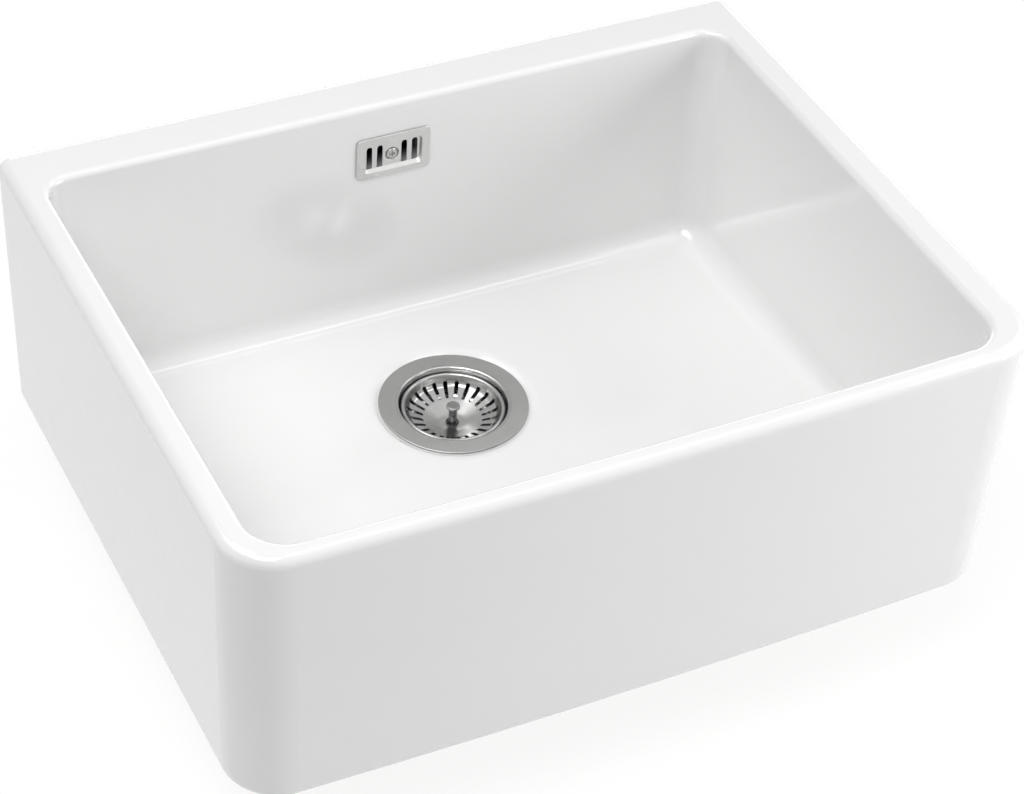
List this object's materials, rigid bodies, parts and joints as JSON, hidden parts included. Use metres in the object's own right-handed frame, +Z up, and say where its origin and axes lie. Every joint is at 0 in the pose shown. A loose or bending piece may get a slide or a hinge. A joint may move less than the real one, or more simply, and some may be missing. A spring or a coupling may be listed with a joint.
{
  "type": "fireclay butler sink",
  "caption": "White glazed fireclay kitchen sink with a deep rectangular basin, lift-out basket strainer waste and a slotted overflow plate joined to the waste by a ribbed hose behind",
  "frame": {"origin": "middle of the bowl's flat underside, which rests on the base unit", "axes": "+X along the width to the user's right, +Y from the front apron to the wall behind, +Z up"},
  "size_m": [0.5946, 0.5028, 0.3],
  "materials": {
    "glaze": "gloss white glaze",
    "brushed_steel": "brushed",
    "polished_steel": "polished",
    "fastener_steel": "bright",
    "brass": "turned",
    "rubber": "matt",
    "white_plastic": "moulded",
    "grey_plastic": "ribbed"
  },
  "bodies": {
    "bowl": {"sink_bowl": "glaze", "flange_seal": "rubber", "strainer_dish": "brushed_steel", "body_seal": "rubber", "waste_body": "white_plastic", "clamp_insert": "brass", "clamp_washer": "fastener_steel", "clamp_screw": "fastener_steel", "overflow_plate": "brushed_steel", "plate_seal": "rubber", "overflow_screw": "fastener_steel", "elbow_seal": "rubber", "overflow_elbow": "white_plastic", "elbow_insert": "brass", "upper_hose_washer": "rubber", "upper_hose_nut": "white_plastic", "overflow_hose": "grey_plastic", "lower_hose_washer": "rubber", "lower_hose_nut": "white_plastic"},
    "seal": {"basket_seal": "rubber"},
    "basket": {"strainer_basket": "polished_steel", "basket_knob": "polished_steel", "seal_washer": "polished_steel", "seal_nut": "fastener_steel"}
  },
  "joints": [
    {"name": "basket_lift", "type": "slide", "parent": "bowl", "child": "seal", "axis": [0, 0, 1], "range_m": [0, 0.26]},
    {"name": "basket_turn", "type": "hinge", "parent": "seal", "child": "basket", "pos_m": [-0.004, 0.066, 0.013], "axis": [0, 0, 1], "continuous": true}
  ]
}
